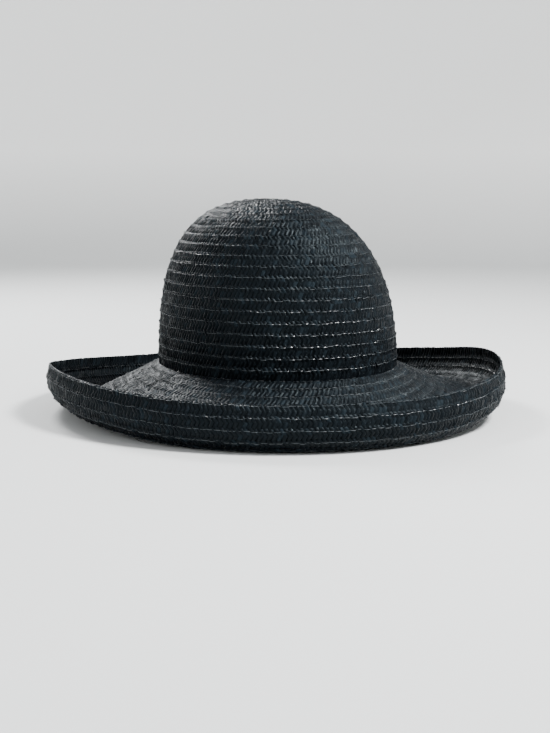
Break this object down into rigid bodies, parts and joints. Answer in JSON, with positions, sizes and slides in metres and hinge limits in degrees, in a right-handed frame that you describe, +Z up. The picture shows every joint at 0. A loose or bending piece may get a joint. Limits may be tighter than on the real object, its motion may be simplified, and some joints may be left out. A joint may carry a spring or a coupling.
{
  "type": "wide-brim straw hat",
  "caption": "Black sewn-braid straw hat with a domed crown, a wide brim rolled up all round and a smooth sweatband, resting crown up on the fold of its brim.",
  "frame": {"origin": "on the surface that the hat rests on, below the middle of the hat's bounding box", "axes": "+Z up through the crown's tip, -Y towards the front of the hat, +X to the right of someone facing its front"},
  "size_m": [0.3282, 0.3582, 0.1517],
  "materials": {
    "crown_braid": "black dyed straw braid, satin with small glints",
    "brim_braid": "black dyed straw braid, satin with small glints",
    "sweatband_cloth": "smooth dark navy-black ribbon, matt"
  },
  "bodies": {
    "root": {"crown": "crown_braid", "brim": "brim_braid", "sweatband": "sweatband_cloth"}
  },
  "joints": []
}
